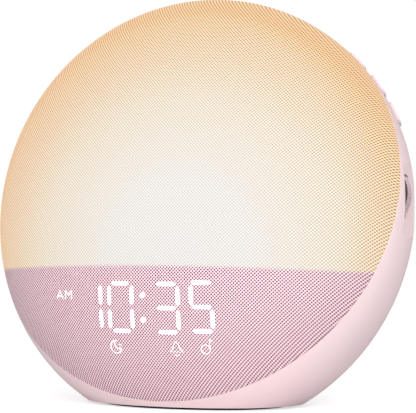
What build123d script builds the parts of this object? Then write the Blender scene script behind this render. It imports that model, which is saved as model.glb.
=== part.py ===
from build123d import *
import math
import os

os.makedirs("parts", exist_ok=True)

# Sunrise alarm clock, in millimetres. X is across, -Y is the front, Z is up.
# The origin is the centre of the underside, on the surface that the clock stands on.

# Overall form: a flattened ball that leans back and is cut flat at its base
body_radius = 92.0  # half the width across the face
half_depth = 51.0  # from the middle to the front or back pole
roundness = 2.3  # exponent of the outline: 2 is an ellipse, more is squarer
lean = 10.0  # degrees that the body leans back
centre_height = body_radius - 12.5
seam_lean = 21.5  # the seam between cloth and housing leans back further
seam_forward = 10.4  # the seam's distance in front of the middle

# Walls and clearances
wall = 2.5  # housing
cloth = 0.9  # knitted cover
dome_wall = 2.4  # diffuser and fascia behind the cloth
skin_gap = 0.1  # cloth to dome
fit_gap = 0.3  # between mouldings that nest
seat_gap = 0.1  # between a piece and the flat face it is fastened to
press_gap = 0.02  # round the axle in the wheel that turns with it
running_gap = 0.08  # radial play of the wheel's axle in its bearings
pilot_radius = 1.3  # hole for a screw's shank
post_radius = 3.2
frame_post_radius = 3.8
pilot_depth = 9.0

# Base
foot_height = 1.8
base_gap = 1.2  # the housing's flat underside stands this far off the table
foot_inset = 2.6
floor_thickness = 3.0

# Front frame
plate_thickness = 2.2
skirt_depth = 6.0
skirt_wall = 2.5
rim_height = 5.0
rim_wall = 2.0
frame_screw_circle = body_radius - 18
frame_screw_length = 12.0
frame_screw_angles = (70, 115, 180, 228, 312)

# Light compartment
light_line = 58.0  # height of the line between the glowing and the plain cloth
baffle_thickness = 1.6
board_thickness = 1.6
lamp_board_radius = body_radius - 30
lamp_board_up = 8.0
lamp_board_low = -16.0
lamp_pitch_x = 18.0
lamp_pitch_y = 16.0
lamp_rows = 5
lamp_columns = 6
lamp_first_row = -1
lamp_field_radius = lamp_board_radius - 6
lamp_length = 3.5
lamp_width = 2.8
lamp_height = 1.3
tray_thickness = 0.8
tray_standoff = 0.35
tray_height = 10.0
lamp_screw_reach = lamp_board_radius - 8
lamp_screw_top = lamp_board_radius - 6
lamp_screw_length = 5.0
lamp_boss_length = 3.0
tray_window_margin = 1.0

# Display
display_depth = half_depth - 14.5  # the display board's face is this far in front of the middle
display_middle = 37.6  # height of the display window's centre
display_width = body_radius
display_height = 34.0
display_corner = 14.0
mask_lip = 2.0
digit_middle = 41.6  # height of the digits' centre
digit_step = 14.3  # from the middle of one digit to the next
digit_offset = 10.2  # the two inner digits' distance from the centre line
digit_width = 9.6  # between the middles of the upright segments
digit_height = 19.0  # between the middles of the top and bottom segments
segment_width = 1.8
segment_gap = 0.5
channel_gap = 0.15
colon_radius = 1.3
colon_rise = 4.9
guide_width = 7.0
guide_height = 7.4
guide_corner = 1.0
icon_height = 25.8
icon_places = (-13.7, -0.4, 12.9, 25.6)
sign_width = 10.0
sign_height = 4.8
sign_across = display_width / 2 - 8
sign_up = 46.0
display_screw_high = 13.8
display_screw_low = 12.4
display_screw_edge = 5.5
display_screw_corner = 11.5
display_screw_grip = 4.5
mask_pilot_depth = 6.0

# Speaker, on the body's own axis at the back
grille_radius = 21.0
grille_slots = 9
grille_pitch = 4.6
grille_slot_width = 1.8
speaker_seat = half_depth - 5.5  # the seat's distance behind the middle
speaker_opening = 24.5
speaker_seat_width = 4.0
gasket_thickness = 0.9
speaker_flange = 54.0
flange_corner = 8.0
flange_thickness = 1.5
speaker_screw_reach = 23.5
speaker_screw_grip = 2.6
gasket_inset = 0.5
basket_depth = 14.0
basket_wall = 1.6
basket_back_radius = 15.0
basket_bore = 23.5
basket_window = (12.0, 11.0)
basket_window_margin = 2.0
basket_windows = 4
tab_size = (8.0, 9.0)
tab_across = -17.0
magnet_radius = 16.0
magnet_depth = 8.0
magnet_chamfer = 0.8
coil_radius = 7.0
coil_gap = 1.0
cone_radius = 21.4
cone_thickness = 0.6
cone_edge_lift = 0.4
cone_neck_drop = 5.0
cap_depth = 2.6
roll_thickness = 0.5

# Main board
main_board_width = 76.0
main_board_height = 56.0
main_board_up = 8.0
main_board_back = half_depth - 39  # the board's back face is this far behind the middle
board_inset = 4.0  # from a board's edges to the middle of its screws
board_corner = 2.0
board_screw_grip = 6.0
chip_size = 12.0
chip_height = 1.2
chip_across = -12.0
chip_up = 16.0
radio_width = 17.0
radio_length = 22.0
radio_height = 2.6
radio_across = 16.0
radio_up = 20.0
capacitor_radius = 4.0
capacitor_height = 9.0
capacitor_spots = ((26.0, -11.0), (16.0, -11.0))
ribbon_socket_up = -11.5
lamp_socket_up = 2.5
socket_height = 4.0
socket_depth = 5.0
socket_margin = 1.5
lead_socket = (7.0, 6.0)
speaker_socket_spot = (-23.0, -12.0)
power_socket_across = 5.0
cell_radius = 10.0
cell_thickness = 3.2
cell_across = 24.0
cell_up = 17.0
holder_wall = 1.5
holder_floor = 1.0
finger_notch = 7.0

# Power inlet
inlet_height = 15.6
inlet_pocket_radius = 7.0
inlet_pocket_floor = half_depth / 2  # the pocket's floor is this far behind the middle
inlet_nose_radius = 4.3
inlet_bore_radius = 2.85
inlet_pin_radius = 1.0
inlet_depth = 9.0
inlet_cup_floor = 2.1
inlet_cup_wall = 2.0
jack_width = 9.4
jack_length = 13.0
jack_rise = 4.8
power_board_width = 30.0
power_board_length = 20.0
power_board_up = 8.2
power_post_radius = 2.6
power_post_root = 1.0
power_screw_grip = 3.2
power_board_gap = 3.2
power_socket_size = (8.0, 5.0)
power_socket_inset = 3.0

# Push buttons
button_angles = {"lower": 28.9, "middle": 38.1, "upper": 47.3}
button_back = 12.5  # the buttons' distance behind the middle
button_length = 10.2
button_width = 8.4
button_corner = 2.6
button_proud = 1.0
button_lip = 0.8
button_floor = body_radius - 7.4
button_fillet = 0.4
plunger_radius = 1.7
plunger_top = button_floor - 1.5
plunger_length = 2.3
switch_top = plunger_top - 0.9
switch_size = 6.2
switch_height = 3.4
strip_thickness = 0.3
strip_margin = 0.8  # beyond the switches on each side
carrier_thickness = 2.2
carrier_width = 11.5
strip_overhang = 5.5  # degrees past the middles of the outer buttons
carrier_overhang = 7.5
carrier_foot_turn = 6.7
notch_margin = 4.0

# Thumb wheel
wheel_radius = 13.0
wheel_width = 5.8
wheel_across = body_radius - 13.7
wheel_up = 7.2
wheel_back = 2.4  # the wheel's mid plane is this far behind the middle
wheel_ribs = 90
rib_depth = 0.5
rib_gap = 0.28  # half the width of the groove between two ribs
wheel_rim = 2.6
wheel_dish = 1.2
wheel_gap = 0.8
wheel_side_gap = 0.6
hub_radius = 4.5
axle_radius = 1.5
scoop_radius = 43.0
scoop_floor = body_radius - 4
scoop_front = 4.2
scoop_wall = 2.0
bracket_wall = 1.6
bracket_reach = 16.3
bracket_arm = 8.0
bracket_screw_across = wheel_across - 10.3
bracket_screw_spread = 14.0
bracket_lug = 9.0
axle_overhang = 0.6
encoder_size = 9.4
encoder_depth = 4.0
encoder_floor = 0.8
encoder_corner = 1.0

# Screws
head_radius = 2.4
head_height = 1.5
shank_radius = 1.15
head_taper = 12.0

# Leads
ribbon_thickness = 0.4
display_ribbon_width = 16.0
lamp_ribbon_width = 10.0
lead_diameter = 1.2
lead_spacing = 2.2
socket_gap = 0.3  # from a cable's end to what it plugs into
ribbon_slot_height = 12.0
lamp_slot_height = 6.0
slot_margin = 2.0
ribbon_drop = 0.6  # below the display's middle, where the cable leaves its board
ribbon_bends = ((7.0, -0.4), (17.5, 8.4))  # behind the display's face, above its middle
ribbon_run = 6.9  # the last straight stretch in front of the main board's socket
ribbon_lift = 1.0
ribbon_bend_radius = 5.0
lamp_ribbon_up = -1.5
lamp_ribbon_drop = 5.4  # the first straight stretch behind the lamp board
lamp_ribbon_run = 5.9
lamp_ribbon_lift = 0.4
lamp_ribbon_bend_radius = 4.0
speaker_lead_across = -18.2
speaker_lead_rise = 2.85  # in front of the basket
speaker_lead_run = 4.6  # the last stretch behind the main board's socket
speaker_lead_bend_radius = 4.5
power_lead_bends = ((0.3, 0.0, 0.0), (0.67, 2.6, 3.5))  # share of the climb, across, back
power_lead_bend_radius = 40.0

# Places and planes that follow from the sizes above
across = Vector(1, 0, 0)
centre = Vector(0, 0, centre_height)
front = Vector(0, -math.cos(math.radians(lean)), math.sin(math.radians(lean)))
body_up = front.cross(across)
BODY = Plane(origin=centre, x_dir=across, z_dir=front)
PROFILE = Plane(origin=centre, x_dir=across, z_dir=-body_up)
BODY_AXIS = Axis(centre, front)
seam_front = Vector(0, -math.cos(math.radians(seam_lean)), math.sin(math.radians(seam_lean)))
SEAM = Plane(origin=centre + front * seam_forward, x_dir=across, z_dir=seam_front)
DISPLAY = Plane(origin=(0, -display_depth, 0), x_dir=(1, 0, 0), z_dir=(0, -1, 0))
BACKWARD = Plane(origin=(0, 0, 0), x_dir=(-1, 0, 0), z_dir=(0, 1, 0))
SIDE = Plane.YZ
REAR_EDGE = SEAM.offset(-fit_gap / 2)
FRONT_EDGE = SEAM.offset(fit_gap / 2)

floor_top = base_gap + floor_thickness
dome_out = cloth + skin_gap
dome_in = dome_out + dome_wall
rim_out = dome_in + fit_gap
plate_back = plate_thickness + seat_gap
main_board_front = main_board_back - board_thickness
far = 2 * body_radius
baffle_low = light_line - baffle_thickness / 2
baffle_high = light_line + baffle_thickness / 2
ribbon_slot_up = (display_middle - centre_height) / math.cos(math.radians(seam_lean))


def outline(inset):
    """Points of the body's half outline, front pole to back pole, brought in by inset."""
    steps = 24
    points = []
    for step in range(steps + 1):
        turn = math.pi * step / steps
        forward = math.cos(turn)
        radius = (body_radius - inset) * abs(math.sin(turn)) ** (2 / roundness)
        depth = (half_depth - inset) * math.copysign(abs(forward) ** (2 / roundness), forward)
        points.append((radius, depth))
    return points


forms = {}


def ball(inset):
    """The whole body form as a solid, brought in by inset."""
    if inset in forms:
        return forms[inset]
    points = outline(inset)
    points[0] = (0, half_depth - inset)
    points[-1] = (0, inset - half_depth)
    with BuildPart() as form:
        with BuildSketch(PROFILE):
            with BuildLine():
                Spline(*points, tangents=[(1, 0), (-1, 0)])
                Line(points[-1], points[0])
            make_face()
        revolve(axis=BODY_AXIS)
    forms[inset] = form.part
    return form.part


def ball_between(inset, low_plane, high_plane=None):
    """The stretch of the body form between two planes."""
    with BuildPart() as stretch:
        add(ball(inset))
        split(bisect_by=low_plane, keep=Keep.TOP)
        if high_plane is not None:
            split(bisect_by=high_plane, keep=Keep.BOTTOM)
    return stretch.part


def posts(plane, spots, radius, length, inset):
    """Round posts that stand on plane at spots, run back from it and end in the housing's wall."""
    with BuildPart() as group:
        with BuildSketch(plane):
            with Locations(*spots):
                Circle(radius)
        extrude(amount=-length)
        add(ball(inset), mode=Mode.INTERSECT)
    return group.part


def screws(plane, spots, length):
    """Pan-head screws whose heads sit on plane and whose shanks run back from it."""
    with BuildPart() as group:
        with BuildSketch(plane):
            with Locations(*spots):
                Circle(head_radius)
        extrude(amount=head_height, taper=head_taper)
        with BuildSketch(plane):
            with Locations(*spots):
                Circle(shank_radius)
        extrude(amount=-length)
    return group.part


def polar(radius, angle):
    return (radius * math.cos(math.radians(angle)), radius * math.sin(math.radians(angle)))


def upright(distance_x, distance_y, middle_x=0.0, middle_y=0.0):
    """The four corners of a rectangle round a middle."""
    corners = []
    for side in (-1, 1):
        for end in (-1, 1):
            corners.append((middle_x + side * distance_x, middle_y + end * distance_y))
    return corners


# ---------------------------------------------------------------- rear housing
frame_spots = [polar(frame_screw_circle, angle) for angle in frame_screw_angles]
board_spots = upright(
    main_board_width / 2 - board_inset,
    main_board_height / 2 - board_inset,
    0,
    main_board_up,
)
speaker_spots = upright(speaker_screw_reach, speaker_screw_reach)
bracket_spots = [
    (bracket_screw_across, wheel_up - bracket_screw_spread),
    (bracket_screw_across, wheel_up + bracket_screw_spread),
]
bracket_back = wheel_back + wheel_width / 2 + wheel_side_gap + bracket_wall
power_board_middle = inlet_pocket_floor - power_board_gap - power_board_length / 2
power_spots = upright(
    power_board_width / 2 - board_inset,
    power_board_length / 2 - board_inset,
    0,
    power_board_middle,
)
scoop_middle = (scoop_floor + scoop_radius, wheel_up)


def button_plane(angle, reach):
    """Plane across a button's travel, its normal pointing straight out of the housing."""
    outward = across * math.cos(math.radians(angle)) + body_up * math.sin(math.radians(angle))
    return Plane(origin=centre - front * button_back + outward * reach, x_dir=front, z_dir=outward)


hollow = ball_between(wall, Plane.XY.offset(floor_top))
frame_posts = posts(
    SEAM.offset(-plate_back), frame_spots, frame_post_radius, half_depth, wall / 2
)
board_posts = posts(
    BODY.offset(-main_board_back - seat_gap), board_spots, post_radius, half_depth, wall / 2
)
bracket_posts = posts(
    BODY.offset(-bracket_back - seat_gap), bracket_spots, post_radius, half_depth, wall / 2
)
speaker_posts = posts(
    BODY.offset(-speaker_seat + gasket_thickness - seat_gap / 2),
    speaker_spots,
    post_radius,
    half_depth,
    wall / 2,
)

with BuildPart() as speaker_ring:
    with BuildSketch(BODY.offset(-speaker_seat)):
        Circle(speaker_opening + speaker_seat_width)
        Circle(speaker_opening, mode=Mode.SUBTRACT)
    extrude(amount=-half_depth)
    add(ball(wall / 2), mode=Mode.INTERSECT)

with BuildPart() as inlet_cup:
    with BuildSketch(BACKWARD.offset(inlet_pocket_floor - inlet_cup_floor)):
        with Locations((0, inlet_height)):
            Circle(inlet_pocket_radius + inlet_cup_wall)
    extrude(amount=far)
    add(ball(0), mode=Mode.INTERSECT)

with BuildPart() as scoop_skin:
    with BuildSketch(BODY.offset(scoop_front + scoop_wall)):
        with Locations(scoop_middle):
            Circle(scoop_radius + wall)
    extrude(amount=-half_depth)
    add(ball(0), mode=Mode.INTERSECT)
    split(bisect_by=REAR_EDGE, keep=Keep.BOTTOM)

with BuildPart() as rear_housing:
    add(ball_between(0, Plane.XY.offset(base_gap), REAR_EDGE))
    add(hollow, mode=Mode.SUBTRACT)
    add(frame_posts)
    add(board_posts)
    add(bracket_posts)
    add(speaker_posts)
    add(speaker_ring.part)
    add(inlet_cup.part)
    add(scoop_skin.part)
    # posts that carry the power board
    with BuildSketch(Plane.XY.offset(base_gap + power_post_root)):
        with Locations(*power_spots):
            Circle(power_post_radius)
    extrude(amount=power_board_up - seat_gap - base_gap - power_post_root)
    # finger scoop and the wheel's slot
    with BuildSketch(BODY.offset(scoop_front)):
        with Locations(scoop_middle):
            Circle(scoop_radius)
    extrude(amount=-half_depth, mode=Mode.SUBTRACT)
    with BuildSketch(BODY.offset(-wheel_back)):
        with Locations((wheel_across, wheel_up)):
            Circle(wheel_radius + wheel_gap)
    extrude(amount=wheel_width / 2 + wheel_side_gap, both=True, mode=Mode.SUBTRACT)
    # button windows
    for angle in button_angles.values():
        with BuildSketch(button_plane(angle, button_floor)):
            RectangleRounded(
                button_width + 2 * fit_gap, button_length + 2 * fit_gap, button_corner + fit_gap
            )
        extrude(amount=body_radius, mode=Mode.SUBTRACT)
    # speaker grille
    with BuildSketch(BODY.offset(-half_depth - wall)):
        for slot in range(grille_slots):
            height = (slot - (grille_slots - 1) / 2) * grille_pitch
            with Locations((0, height)):
                SlotOverall(2 * math.sqrt(grille_radius**2 - height**2), grille_slot_width)
    extrude(amount=half_depth + wall - speaker_seat, mode=Mode.SUBTRACT)
    # plug pocket and the hole for the inlet's nose
    with BuildSketch(BACKWARD.offset(inlet_pocket_floor)):
        with Locations((0, inlet_height)):
            Circle(inlet_pocket_radius)
    extrude(amount=far, mode=Mode.SUBTRACT)
    with BuildSketch(BACKWARD.offset(inlet_pocket_floor - wall)):
        with Locations((0, inlet_height)):
            Circle(inlet_nose_radius + fit_gap)
    extrude(amount=2 * wall, mode=Mode.SUBTRACT)
    # pilot holes
    with BuildSketch(SEAM.offset(-plate_back)):
        with Locations(*frame_spots):
            Circle(pilot_radius)
    extrude(amount=-frame_screw_length, mode=Mode.SUBTRACT)
    with BuildSketch(BODY.offset(-main_board_back)):
        with Locations(*board_spots):
            Circle(pilot_radius)
    extrude(amount=-pilot_depth, mode=Mode.SUBTRACT)
    with BuildSketch(BODY.offset(-bracket_back)):
        with Locations(*bracket_spots):
            Circle(pilot_radius)
    extrude(amount=-pilot_depth, mode=Mode.SUBTRACT)
    with BuildSketch(BODY.offset(-speaker_seat + gasket_thickness)):
        with Locations(*speaker_spots):
            Circle(pilot_radius)
    extrude(amount=-speaker_screw_grip - seat_gap, mode=Mode.SUBTRACT)
    with BuildSketch(Plane.XY.offset(base_gap + 2 * power_post_root)):
        with Locations(*power_spots):
            Circle(pilot_radius)
    extrude(amount=power_board_up, mode=Mode.SUBTRACT)
    # recess for the foot
    add(
        ball_between(
            foot_inset - fit_gap,
            Plane.XY.offset(-foot_height),
            Plane.XY.offset(foot_height + seat_gap / 2),
        ),
        mode=Mode.SUBTRACT,
    )
rear_housing.part.label = "rear_housing"
export_step(rear_housing.part, "parts/rear_housing.step")

with BuildPart() as rubber_foot:
    add(ball_between(foot_inset, Plane.XY, Plane.XY.offset(foot_height)))
rubber_foot.part.label = "rubber_foot"
export_step(rubber_foot.part, "parts/rubber_foot.step")

# ---------------------------------------------------------------- cloth and domes
with BuildPart() as fabric_cover:
    add(ball_between(0, FRONT_EDGE))
    add(ball(cloth), mode=Mode.SUBTRACT)
fabric_cover.part.label = "fabric_cover"
export_step(fabric_cover.part, "parts/fabric_cover.step")

with BuildPart() as light_diffuser:
    add(ball_between(dome_out, FRONT_EDGE))
    add(ball(dome_in), mode=Mode.SUBTRACT)
    split(bisect_by=Plane.XY.offset(light_line + seat_gap), keep=Keep.TOP)
light_diffuser.part.label = "light_diffuser"
export_step(light_diffuser.part, "parts/light_diffuser.step")

with BuildPart() as lower_fascia:
    add(ball_between(dome_out, FRONT_EDGE))
    add(ball(dome_in), mode=Mode.SUBTRACT)
    split(bisect_by=Plane.XY.offset(light_line - seat_gap), keep=Keep.BOTTOM)
    with BuildSketch(DISPLAY):
        with Locations((0, display_middle)):
            RectangleRounded(display_width, display_height, display_corner)
    extrude(amount=half_depth, mode=Mode.SUBTRACT)
lower_fascia.part.label = "lower_fascia"
export_step(lower_fascia.part, "parts/lower_fascia.step")

# ---------------------------------------------------------------- front frame
lamp_screw_spots = [
    (-lamp_screw_reach, lamp_board_up),
    (lamp_screw_reach, lamp_board_up),
    (0, lamp_board_up + lamp_screw_top),
    (0, lamp_board_low + board_inset),
]

locating_rim = ball_between(rim_out, SEAM.offset(-plate_thickness / 2), SEAM.offset(rim_height))
skirt_hollow = ball_between(
    wall + fit_gap + skirt_wall, SEAM.offset(-2 * skirt_depth), SEAM.offset(-plate_thickness)
)

with BuildPart() as front_frame:
    add(ball_between(wall + fit_gap, SEAM.offset(-skirt_depth), SEAM))
    add(skirt_hollow, mode=Mode.SUBTRACT)
    add(locating_rim)
    add(ball_between(rim_out + rim_wall, SEAM, SEAM.offset(2 * rim_height)), mode=Mode.SUBTRACT)
    # bosses for the lamp board's screws
    with BuildSketch(SEAM.offset(-plate_thickness)):
        with Locations(*lamp_screw_spots):
            Circle(post_radius)
    extrude(amount=-lamp_boss_length)
    with BuildSketch(SEAM):
        with Locations(*lamp_screw_spots, *frame_spots):
            Circle(pilot_radius)
    extrude(amount=-skirt_depth, mode=Mode.SUBTRACT)
    # slots for the two flat cables
    with BuildSketch(SEAM):
        with Locations((0, ribbon_slot_up)):
            Rectangle(display_ribbon_width + 2 * slot_margin, ribbon_slot_height)
        with Locations((0, -slot_margin)):
            Rectangle(lamp_ribbon_width + 2 * slot_margin, lamp_slot_height)
    extrude(amount=-plate_thickness, mode=Mode.SUBTRACT)
    # room for the display's lower corners
    with BuildSketch(DISPLAY):
        with Locations((0, display_middle)):
            RectangleRounded(
                display_width + 2 * mask_lip + 2 * fit_gap,
                display_height + 2 * mask_lip + 2 * fit_gap,
                display_corner + mask_lip + fit_gap,
            )
    extrude(amount=half_depth, mode=Mode.SUBTRACT)
    # room for the buttons, their switches and the wheel's scoop
    with BuildSketch(SEAM.offset(-plate_thickness)):
        with BuildLine():
            edge_start = polar(far, button_angles["lower"] - carrier_overhang - notch_margin)
            edge_end = polar(far, button_angles["upper"] + carrier_overhang + notch_margin)
            Polyline((0, 0), edge_start, edge_end, (0, 0))
        make_face()
    extrude(amount=-skirt_depth, mode=Mode.SUBTRACT)
    with BuildSketch(BODY.offset(scoop_front + scoop_wall + fit_gap)):
        with Locations(scoop_middle):
            Circle(scoop_radius + wall + fit_gap)
    extrude(amount=-skirt_depth, mode=Mode.SUBTRACT)
    split(bisect_by=Plane.XY.offset(floor_top + fit_gap), keep=Keep.TOP)
front_frame.part.label = "front_frame"
export_step(front_frame.part, "parts/front_frame.step")

frame_screws = screws(SEAM.offset(seat_gap), frame_spots, frame_screw_length)
frame_screws.label = "frame_screws"
export_step(frame_screws, "parts/frame_screws.step")

# ---------------------------------------------------------------- light compartment
with BuildPart() as divider_baffle:
    add(ball_between(dome_in + fit_gap, SEAM.offset(rim_height + fit_gap)))
    add(ball_between(rim_out + rim_wall + fit_gap, SEAM.offset(seat_gap), SEAM.offset(2 * rim_height)))
    split(bisect_by=Plane.XY.offset(baffle_low), keep=Keep.TOP)
    split(bisect_by=Plane.XY.offset(baffle_high), keep=Keep.BOTTOM)
divider_baffle.part.label = "divider_baffle"
export_step(divider_baffle.part, "parts/divider_baffle.step")

lamp_spots = []
for row in range(lamp_rows):
    for column in range(lamp_columns):
        lamp_x = (column - (lamp_columns - 1) / 2) * lamp_pitch_x
        lamp_y = lamp_board_up + (row + lamp_first_row) * lamp_pitch_y
        if math.hypot(lamp_x, lamp_y - lamp_board_up) < lamp_field_radius:
            lamp_spots.append((lamp_x, lamp_y))

with BuildPart() as led_board:
    with BuildSketch(SEAM.offset(seat_gap)):
        with Locations((0, lamp_board_up)):
            Circle(lamp_board_radius)
        with Locations((0, lamp_board_low)):
            Rectangle(far, far, align=(Align.CENTER, Align.MAX), mode=Mode.SUBTRACT)
        with Locations(*lamp_screw_spots):
            Circle(pilot_radius, mode=Mode.SUBTRACT)
    extrude(amount=board_thickness)
led_board.part.label = "led_board"
export_step(led_board.part, "parts/led_board.step")

lamp_face = SEAM.offset(seat_gap + board_thickness)

with BuildPart() as led_packages:
    with BuildSketch(lamp_face):
        with Locations(*lamp_spots):
            Rectangle(lamp_length, lamp_width)
    extrude(amount=lamp_height)
led_packages.part.label = "led_packages"
export_step(led_packages.part, "parts/led_packages.step")

led_board_screws = screws(lamp_face.offset(seat_gap), lamp_screw_spots, lamp_screw_length)
led_board_screws.label = "led_board_screws"
export_step(led_board_screws, "parts/led_board_screws.step")

tray_back = lamp_face.offset(tray_standoff)
tray_edge = rim_out + rim_wall + fit_gap
with BuildPart() as light_reflector:
    add(ball_between(tray_edge, tray_back, tray_back.offset(tray_height)))
    add(
        ball_between(tray_edge + tray_thickness, tray_back.offset(tray_thickness)),
        mode=Mode.SUBTRACT,
    )
    split(bisect_by=Plane.XY.offset(baffle_high + fit_gap), keep=Keep.TOP)
    with BuildSketch(tray_back):
        with Locations(*lamp_spots):
            Rectangle(lamp_length + 2 * tray_window_margin, lamp_width + 2 * tray_window_margin)
        with Locations(*lamp_screw_spots):
            Circle(head_radius + tray_window_margin)
    extrude(amount=tray_thickness, mode=Mode.SUBTRACT)
light_reflector.part.label = "light_reflector"
export_step(light_reflector.part, "parts/light_reflector.step")

# ---------------------------------------------------------------- display
digit_middles = (
    -digit_offset - digit_step,
    -digit_offset,
    digit_offset,
    digit_offset + digit_step,
)


def bar(length, width, turn):
    """One pointed bar of a seven-segment digit."""
    half = length / 2
    tip = width / 2
    Polygon(
        (-half, 0),
        (-half + tip, tip),
        (half - tip, tip),
        (half, 0),
        (half - tip, -tip),
        (-half + tip, -tip),
        rotation=turn,
    )


def digit_bars(extra):
    """All the bars of the four digits, each made wider all round by extra."""
    level_length = digit_width - segment_gap + 2 * extra
    rise_length = digit_height / 2 - segment_gap + 2 * extra
    width = segment_width + 2 * extra
    for middle in digit_middles:
        for level in (-1, 0, 1):
            with Locations((middle, digit_middle + level * digit_height / 2)):
                bar(level_length, width, 0)
        for side in (-1, 1):
            for half in (-1, 1):
                spot = (middle + side * digit_width / 2, digit_middle + half * digit_height / 4)
                with Locations(spot):
                    bar(rise_length, width, 90)


def colon_dots(extra):
    with Locations((0, digit_middle - colon_rise), (0, digit_middle + colon_rise)):
        Circle(colon_radius + extra)


def indicator_windows(extra):
    """The windows of the icons in a row and of the sign to the left of the digits."""
    with Locations(*[(place, icon_height) for place in icon_places]):
        RectangleRounded(guide_width + 2 * extra, guide_height + 2 * extra, guide_corner)
    with Locations((-sign_across, sign_up)):
        RectangleRounded(sign_width + 2 * extra, sign_height + 2 * extra, guide_corner)


mask_back = DISPLAY.offset(seat_gap)
screw_high = display_middle + display_screw_high
screw_low = display_middle - display_screw_low
display_screw_spots = [
    (display_screw_edge - display_width / 2, screw_high),
    (display_width / 2 - display_screw_edge, screw_high),
    (display_screw_corner - display_width / 2, screw_low),
    (display_width / 2 - display_screw_corner, screw_low),
]

with BuildPart() as mask_lip_block:
    with BuildSketch(mask_back):
        with Locations((0, display_middle)):
            RectangleRounded(
                display_width + 2 * mask_lip, display_height + 2 * mask_lip, display_corner + mask_lip
            )
    extrude(amount=half_depth)
    add(ball(dome_in + fit_gap), mode=Mode.INTERSECT)
    split(bisect_by=SEAM.offset(rim_height + fit_gap), keep=Keep.TOP)

with BuildPart() as display_mask:
    with BuildSketch(mask_back):
        with Locations((0, display_middle)):
            RectangleRounded(
                display_width - 2 * fit_gap, display_height - 2 * fit_gap, display_corner - fit_gap
            )
    extrude(amount=half_depth)
    add(ball(dome_out + seat_gap), mode=Mode.INTERSECT)
    add(mask_lip_block.part)
    with BuildSketch(mask_back):
        digit_bars(channel_gap)
        colon_dots(channel_gap)
        indicator_windows(channel_gap)
    extrude(amount=half_depth, mode=Mode.SUBTRACT)
    with BuildSketch(mask_back):
        with Locations(*display_screw_spots):
            Circle(pilot_radius)
    extrude(amount=mask_pilot_depth, mode=Mode.SUBTRACT)
display_mask.part.label = "display_mask"
export_step(display_mask.part, "parts/display_mask.step")

with BuildPart() as display_digits:
    with BuildSketch(mask_back):
        digit_bars(0)
    extrude(amount=half_depth)
    add(ball(dome_out + 2 * seat_gap), mode=Mode.INTERSECT)
display_digits.part.label = "display_digits"
export_step(display_digits.part, "parts/display_digits.step")

with BuildPart() as display_colon:
    with BuildSketch(mask_back):
        colon_dots(0)
    extrude(amount=half_depth)
    add(ball(dome_out + 2 * seat_gap), mode=Mode.INTERSECT)
display_colon.part.label = "display_colon"
export_step(display_colon.part, "parts/display_colon.step")

with BuildPart() as indicator_guides:
    with BuildSketch(mask_back):
        indicator_windows(0)
    extrude(amount=half_depth)
    add(ball(dome_out + 2 * seat_gap), mode=Mode.INTERSECT)
indicator_guides.part.label = "indicator_guides"
export_step(indicator_guides.part, "parts/indicator_guides.step")

with BuildPart() as display_board:
    with BuildSketch(DISPLAY):
        with Locations((0, display_middle)):
            RectangleRounded(
                display_width + mask_lip, display_height + mask_lip, display_corner + mask_lip
            )
        with Locations(*display_screw_spots):
            Circle(pilot_radius, mode=Mode.SUBTRACT)
    extrude(amount=-board_thickness)
    add(ball(tray_edge), mode=Mode.INTERSECT)
display_board.part.label = "display_board"
export_step(display_board.part, "parts/display_board.step")

display_back = Plane(
    origin=(0, -display_depth + board_thickness + seat_gap, 0), x_dir=(-1, 0, 0), z_dir=(0, 1, 0)
)
display_screws = screws(
    display_back,
    [(-spot[0], spot[1]) for spot in display_screw_spots],
    board_thickness + display_screw_grip,
)
display_screws.label = "display_screws"
export_step(display_screws, "parts/display_screws.step")

# ---------------------------------------------------------------- speaker
gasket_back = BODY.offset(-speaker_seat + seat_gap / 2)
flange_back = gasket_back.offset(gasket_thickness)
flange_front = flange_back.offset(flange_thickness)
flange_back_at = -speaker_seat + seat_gap / 2 + gasket_thickness
flange_front_at = flange_back_at + flange_thickness
basket_front_at = flange_front_at + basket_depth
window_reach = basket_bore - 2 * basket_window_margin

with BuildPart() as speaker_gasket:
    with BuildSketch(gasket_back):
        Circle(speaker_opening + speaker_seat_width - gasket_inset)
        Circle(speaker_opening + gasket_inset, mode=Mode.SUBTRACT)
    extrude(amount=gasket_thickness)
speaker_gasket.part.label = "speaker_gasket"
export_step(speaker_gasket.part, "parts/speaker_gasket.step")

with BuildPart() as speaker_frame:
    with BuildSketch(flange_back):
        RectangleRounded(speaker_flange, speaker_flange, flange_corner)
        Circle(basket_bore, mode=Mode.SUBTRACT)
        with Locations(*speaker_spots):
            Circle(pilot_radius, mode=Mode.SUBTRACT)
    extrude(amount=flange_thickness)
    with BuildSketch(PROFILE):
        with BuildLine():
            Polyline(
                (basket_bore, flange_back_at),
                (basket_bore + basket_wall, flange_back_at),
                (basket_back_radius, basket_front_at - basket_wall),
                (basket_back_radius, basket_front_at),
                (coil_radius + coil_gap, basket_front_at),
                (coil_radius + coil_gap, basket_front_at - basket_wall),
                (basket_back_radius - basket_wall, basket_front_at - basket_wall),
                (basket_bore, flange_back_at),
            )
        make_face()
    revolve(axis=BODY_AXIS)
    # windows in the basket
    with BuildSketch(flange_front.offset(basket_window_margin)):
        with PolarLocations(window_reach, basket_windows, start_angle=180 / basket_windows):
            Rectangle(*basket_window)
    extrude(amount=basket_depth - basket_wall - 2 * basket_window_margin, mode=Mode.SUBTRACT)
    # tab that carries the two leads
    with BuildSketch(BODY.offset(basket_front_at - 2 * basket_wall)):
        with Locations((tab_across, 0)):
            Rectangle(*tab_size)
    extrude(amount=basket_wall)
speaker_frame.part.label = "speaker_frame"
export_step(speaker_frame.part, "parts/speaker_frame.step")

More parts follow.
